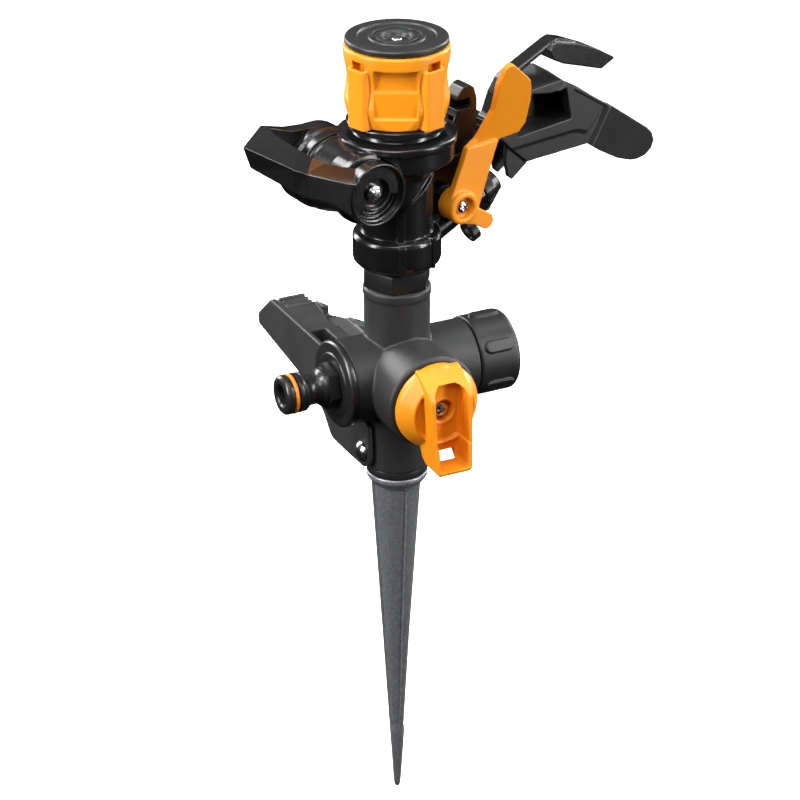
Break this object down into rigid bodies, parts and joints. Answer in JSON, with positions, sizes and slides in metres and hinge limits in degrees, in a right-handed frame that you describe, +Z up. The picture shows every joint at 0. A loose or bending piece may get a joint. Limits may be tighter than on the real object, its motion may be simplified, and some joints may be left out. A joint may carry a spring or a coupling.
{
  "type": "impulse sprinkler",
  "caption": "Garden impulse sprinkler: turning jet head with sprung drive arm, jet breaker lever and top knob, on a cross body with hose nipple, flow valve, cap, foot step and ground spike.",
  "frame": {"origin": "spike axis at the ground line, under the spike's collar", "axes": "+Z up along the spike and the swivel axis, +X from the hose nipple to the capped outlet, -Y towards the flow valve's knob"},
  "size_m": [0.1768, 0.151, 0.334],
  "materials": {
    "matte_black": "fine spark-eroded grain",
    "gloss_black": "smooth gloss",
    "orange_plastic": "satin",
    "orange_seal": "smooth",
    "stainless": "bright",
    "cast_silver": "silver paint over cast metal",
    "rubber": "plain",
    "bearing_plastic": "plain"
  },
  "bodies": {
    "base": {"base_body": "matte_black", "ground_spike": "cast_silver", "spike_socket_ring": "matte_black", "inlet_flange": "matte_black", "inlet_nipple": "matte_black", "nipple_o_ring": "orange_seal", "step_rivet": "stainless", "swivel_nut": "gloss_black", "thrust_washer": "bearing_plastic"},
    "step": {"foot_step": "matte_black"},
    "valve": {"valve_knob": "orange_plastic", "valve_plug": "bearing_plastic", "valve_plug_o_ring": "rubber", "valve_screw": "stainless"},
    "cap": {"outlet_cap": "matte_black", "cap_washer": "rubber"},
    "head": {"head_body": "gloss_black", "swivel_tube": "bearing_plastic", "main_nozzle": "matte_black", "spreader_nozzle": "matte_black", "arm_axle": "stainless", "axle_bush": "bearing_plastic", "arm_torsion_spring": "stainless", "knob_seat": "matte_black", "centre_pin": "stainless", "trip_pin": "stainless"},
    "drive_arm": {"counterweight_yoke": "gloss_black", "front_arm": "gloss_black", "deflector": "matte_black"},
    "breaker": {"diffuser_lever": "orange_plastic", "diffuser_screw": "stainless"},
    "trip": {"trip_lever": "matte_black"},
    "top_knob": {"range_knob": "orange_plastic", "knob_disc": "matte_black"}
  },
  "joints": [
    {"name": "step_fold", "type": "hinge", "parent": "base", "child": "step", "pos_m": [0, 0, 0.0134], "axis": [-1, 0, 0], "range_deg": [0, 85]},
    {"name": "valve_turn", "type": "hinge", "parent": "base", "child": "valve", "pos_m": [0, -0.0345, 0.0456], "axis": [0, -1, 0], "range_deg": [0, 90]},
    {"name": "cap_off", "type": "slide", "parent": "base", "child": "cap", "axis": [1, 0, 0], "range_m": [0, 0.02]},
    {"name": "head_turn", "type": "hinge", "parent": "base", "child": "head", "pos_m": [0, 0, 0.1], "axis": [0, 0, 1], "continuous": true},
    {"name": "arm_swing", "type": "hinge", "parent": "head", "child": "drive_arm", "pos_m": [-0.02269, -0.0038, 0.132], "axis": [0.165, -0.9863, 0], "range_deg": [0, 12], "stiffness_Nm_per_rad": 0.08, "springref_deg": -20.05},
    {"name": "breaker_tilt", "type": "hinge", "parent": "head", "child": "breaker", "pos_m": [0.02154, -0.00755, 0.115], "axis": [-0.165, 0.9863, 0], "range_deg": [0, 28]},
    {"name": "trip_flip", "type": "hinge", "parent": "head", "child": "trip", "pos_m": [0.02762, 0.00462, 0.1352], "axis": [0.9863, 0.165, 0], "range_deg": [-10, 0]},
    {"name": "knob_turn", "type": "hinge", "parent": "head", "child": "top_knob", "pos_m": [0, 0, 0.1549], "axis": [0, 0, 1], "continuous": true}
  ]
}
